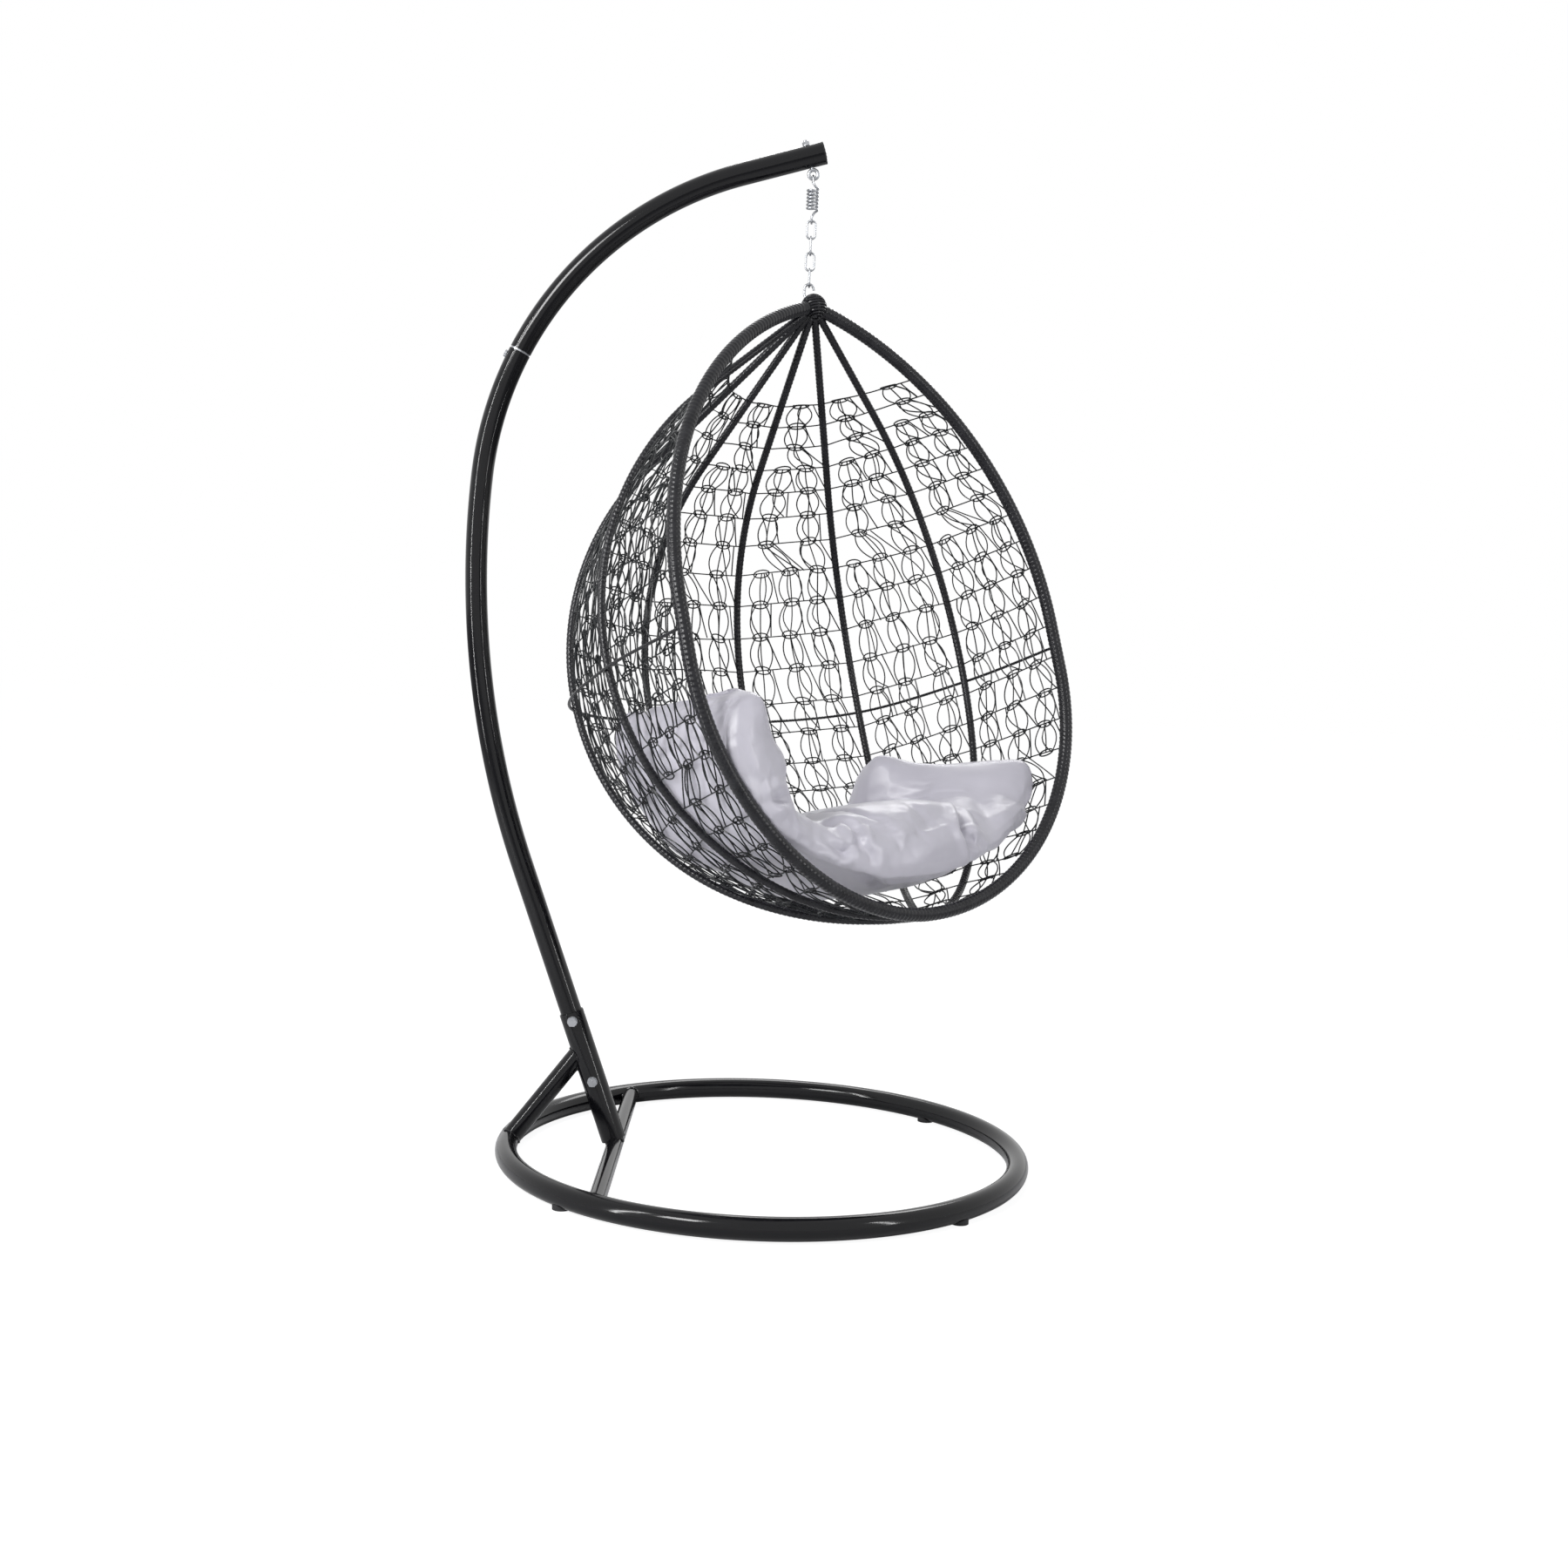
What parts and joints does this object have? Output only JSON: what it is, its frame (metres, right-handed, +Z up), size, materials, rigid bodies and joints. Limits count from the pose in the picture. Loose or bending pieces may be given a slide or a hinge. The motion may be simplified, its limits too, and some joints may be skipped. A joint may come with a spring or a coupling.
{
  "type": "hanging egg chair",
  "caption": "Hanging egg chair: an open woven basket with a bent cushion, hung by a spring and chain from a bowed pole on a ground ring.",
  "frame": {"origin": "centre of the ground ring, on the floor", "axes": "+X the way the pole bows over the ring, +Y to the left of it, +Z up"},
  "size_m": [1.1932, 1.0574, 1.9714],
  "materials": {
    "powder_coat": "gloss",
    "zinc_steel": "satin",
    "frame_coat": "satin",
    "wicker": "satin",
    "black_plastic": "matte",
    "foot_rubber": "matte",
    "cushion_fabric": "satin"
  },
  "bodies": {
    "stand": {"base_ring": "powder_coat", "crossbar": "powder_coat", "pole_socket": "powder_coat", "rear_brace": "powder_coat", "foot_pads": "foot_rubber", "socket_bolts": "zinc_steel", "socket_washers": "zinc_steel", "socket_nuts": "zinc_steel", "lower_pole": "powder_coat", "pole_spigot": "zinc_steel", "upper_pole": "powder_coat", "pole_joint_screw": "zinc_steel", "pole_joint_nut": "zinc_steel", "pole_end_cap": "black_plastic", "eye_bolt": "zinc_steel", "eye_washer": "zinc_steel", "eye_nut": "zinc_steel"},
    "spring": {"spring": "zinc_steel"},
    "link_1": {"chain_link_1": "zinc_steel"},
    "link_2": {"chain_link_2": "zinc_steel"},
    "link_3": {"chain_link_3": "zinc_steel"},
    "link_4": {"chain_link_4": "zinc_steel"},
    "basket": {"basket_hook": "zinc_steel", "hub": "wicker", "mouth_tube_frame": "frame_coat", "mouth_wrap": "wicker", "rib_rod_1": "frame_coat", "rib_rod_2": "frame_coat", "rib_rod_3": "frame_coat", "rib_rod_4": "frame_coat", "rib_rod_5": "frame_coat", "rib_rod_6": "frame_coat", "rib_wrap_1": "wicker", "rib_wrap_2": "wicker", "rib_wrap_3": "wicker", "rib_wrap_4": "wicker", "rib_wrap_5": "wicker", "rib_wrap_6": "wicker", "rib_gusset": "frame_coat", "waist_hoop": "wicker", "weave_panel_1": "wicker", "weave_panel_2": "wicker", "weave_panel_3": "wicker", "weave_panel_4": "wicker", "weave_panel_5": "wicker", "weave_panel_6": "wicker", "weave_panel_7": "wicker", "cushion": "cushion_fabric"}
  },
  "joints": [
    {"name": "swing_fore_aft", "type": "hinge", "parent": "stand", "child": "spring", "pos_m": [0.02595, 0, 1.90802], "axis": [0, 1, 0], "range_deg": [-10, 4]},
    {"name": "spring_stretch", "type": "slide", "parent": "spring", "child": "link_1", "axis": [0, 0, -1], "range_m": [0, 0.015], "stiffness_N_per_m": 50000, "springref_m": -0.003, "deforming": ["spring"]},
    {"name": "swing_side", "type": "hinge", "parent": "link_1", "child": "link_2", "pos_m": [0.02595, 0, 1.78172], "axis": [1, 0, 0], "range_deg": [-8, 8]},
    {"name": "twist_3", "type": "hinge", "parent": "link_2", "child": "link_3", "pos_m": [0.02595, 0, 1.75], "axis": [0, 0, 1], "range_deg": [-15, 35]},
    {"name": "twist_4", "type": "hinge", "parent": "link_2", "child": "link_4", "pos_m": [0.02595, 0, 1.72], "axis": [0, 0, 1], "range_deg": [-30, 70]},
    {"name": "swivel", "type": "hinge", "parent": "link_2", "child": "basket", "pos_m": [0.02595, 0, 1.69], "axis": [0, 0, 1], "range_deg": [-45, 105]}
  ],
  "couplings": [
    {"joint": "twist_3", "follows": "swivel", "ratio": 0.33333},
    {"joint": "twist_4", "follows": "swivel", "ratio": 0.66667}
  ]
}
